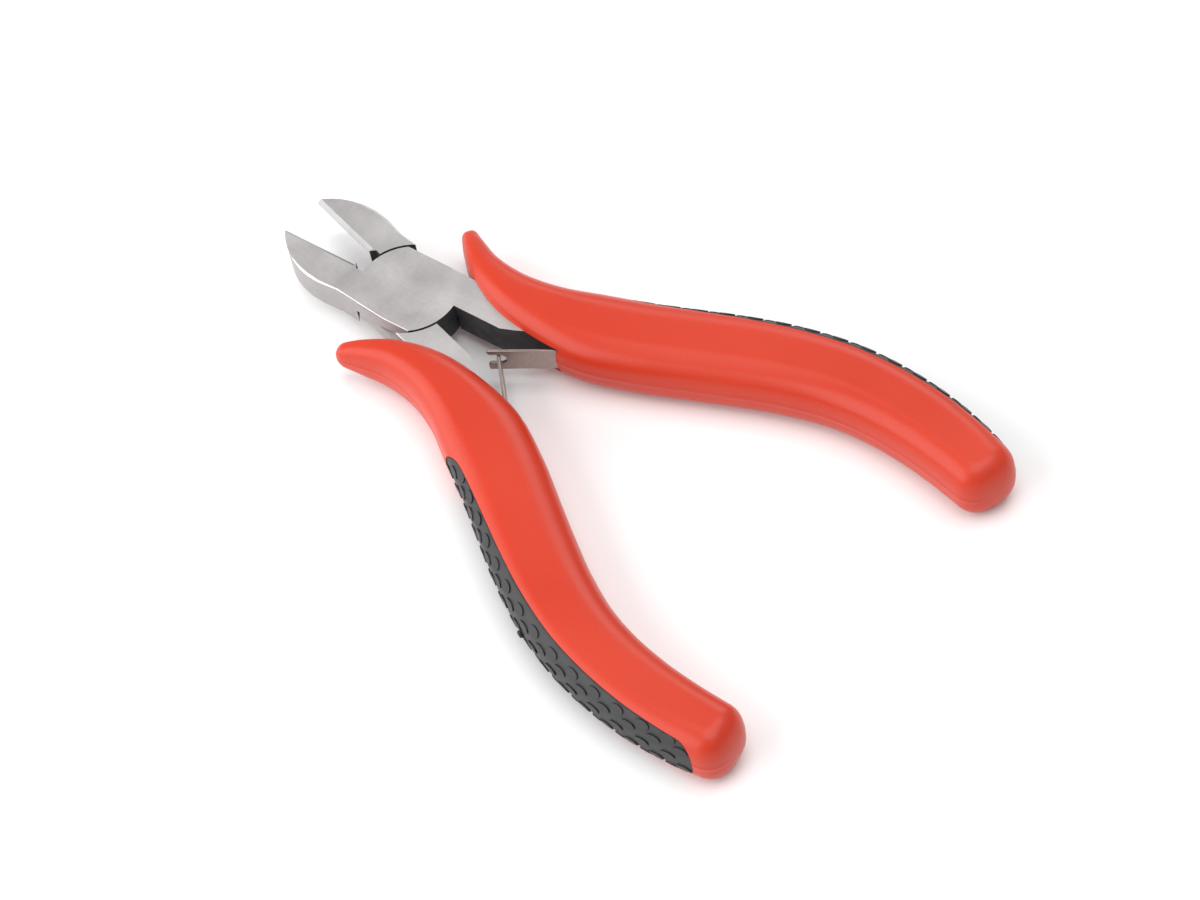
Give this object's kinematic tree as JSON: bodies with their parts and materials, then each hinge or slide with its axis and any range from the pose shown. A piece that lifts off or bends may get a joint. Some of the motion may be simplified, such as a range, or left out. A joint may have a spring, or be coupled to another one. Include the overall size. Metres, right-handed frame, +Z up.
{
  "type": "diagonal cutting pliers",
  "caption": "Mini diagonal cutting pliers: lap-jointed steel jaws, interlocked leaf springs and soft-insert grips, held open by the springs.",
  "frame": {"origin": "on the pivot axis, on the surface that the grips rest on", "axes": "+X from the pivot to the jaw tips along the tool's centre line, +Y to the side of half A's jaw, +Z up through the head's thickness"},
  "size_m": [0.1126, 0.0694, 0.01],
  "materials": {
    "ground_steel": "satin ground faces with a fine grain, dark oxide in the notches",
    "rivet_steel": "ground flush",
    "spring_steel": "tempered strip, brownish grey, bright sheared edges",
    "red_grip": "moulded soft plastic, satin",
    "black_rubber": "matt rubber with raised pads"
  },
  "bodies": {
    "half_a": {"jaw_half_a": "ground_steel", "pivot_rivet": "rivet_steel", "leaf_foot_a": "spring_steel", "spring_rivet_a": "rivet_steel", "grip_a": "red_grip", "grip_insert_a": "black_rubber"},
    "half_b": {"jaw_half_b": "ground_steel", "leaf_foot_b": "spring_steel", "spring_rivet_b": "rivet_steel", "grip_b": "red_grip", "grip_insert_b": "black_rubber"},
    "leaf_a": {"leaf_spring_a": "spring_steel"},
    "leaf_b": {"leaf_spring_b": "spring_steel"}
  },
  "joints": [
    {"name": "pivot", "type": "hinge", "parent": "half_a", "child": "half_b", "pos_m": [0, 0, 0.005], "axis": [0, 0, 1], "range_deg": [-3, 16], "stiffness_Nm_per_rad": 1},
    {"name": "leaf_a_bend", "type": "hinge", "parent": "half_a", "child": "leaf_a", "pos_m": [-0.02865, -0.0089, 0.005], "axis": [0, 0, 1], "range_deg": [-11.8, 2.5]},
    {"name": "leaf_b_bend", "type": "hinge", "parent": "half_b", "child": "leaf_b", "pos_m": [-0.02865, 0.0084, 0.005], "axis": [0, 0, 1], "range_deg": [-2.5, 11.8]}
  ],
  "couplings": [
    {"joint": "leaf_a_bend", "follows": "pivot", "ratio": -0.7},
    {"joint": "leaf_b_bend", "follows": "pivot", "ratio": 0.7}
  ]
}
